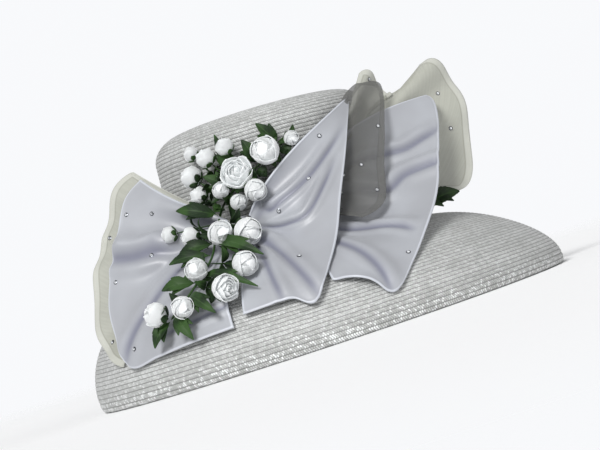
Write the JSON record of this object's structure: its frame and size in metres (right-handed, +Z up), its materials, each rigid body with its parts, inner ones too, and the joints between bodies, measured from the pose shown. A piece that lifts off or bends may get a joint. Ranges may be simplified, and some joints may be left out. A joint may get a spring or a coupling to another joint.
{
  "type": "church hat with ribbon bow and rosebud spray",
  "caption": "Women's dress hat of sewn grey braid with a round crown, a bell brim lined in cloth, and a bow of satin and organza ribbon with white rosebuds.",
  "frame": {"origin": "centre of the brim's edge, on the surface that the hat rests on", "axes": "+Z up through the crown, -Y towards the wearer's front, +X to the wearer's left"},
  "size_m": [0.3875, 0.4042, 0.1971],
  "materials": {
    "braid": "silvery grey sewn braid with fine crosswise ribs, a soft sheen",
    "lining": "matt beige-grey cloth",
    "satin": "glossy blue-grey satin ribbon",
    "organza": "sheer grey-green organza ribbon",
    "petal": "white satin petals",
    "leaf_green": "dark green cloth leaves and wrapped wire",
    "rhinestone": "clear foiled crystal, cut with small facets"
  },
  "bodies": {
    "root": {"crown": "braid", "brim": "braid", "brim_lining": "lining", "satin_front": "satin", "satin_left": "satin", "satin_right": "satin", "organza_front": "organza", "organza_left": "organza", "organza_right": "organza", "bow_knot": "satin", "spray_stem": "leaf_green", "bud_01": "petal", "bud_02": "petal", "bud_03": "petal", "bud_04": "petal", "bud_05": "petal", "bud_06": "petal", "bud_07": "petal", "bud_08": "petal", "bud_09": "petal", "bud_10": "petal", "bud_11": "petal", "bud_12": "petal", "bud_13": "petal", "bud_14": "petal", "bud_15": "petal", "bud_16": "petal", "bud_17": "petal", "bud_18": "petal", "bud_19": "petal", "bud_20": "petal", "leaf_01": "leaf_green", "leaf_02": "leaf_green", "leaf_03": "leaf_green", "leaf_04": "leaf_green", "leaf_05": "leaf_green", "leaf_06": "leaf_green", "leaf_07": "leaf_green", "leaf_08": "leaf_green", "leaf_09": "leaf_green", "leaf_10": "leaf_green", "leaf_11": "leaf_green", "leaf_12": "leaf_green", "leaf_13": "leaf_green", "leaf_14": "leaf_green", "leaf_15": "leaf_green", "leaf_16": "leaf_green", "leaf_17": "leaf_green", "sprig_stem": "leaf_green", "sprig_leaf_1": "leaf_green", "sprig_leaf_2": "leaf_green", "sprig_leaf_3": "leaf_green", "sprig_leaf_4": "leaf_green"}
  },
  "joints": []
}
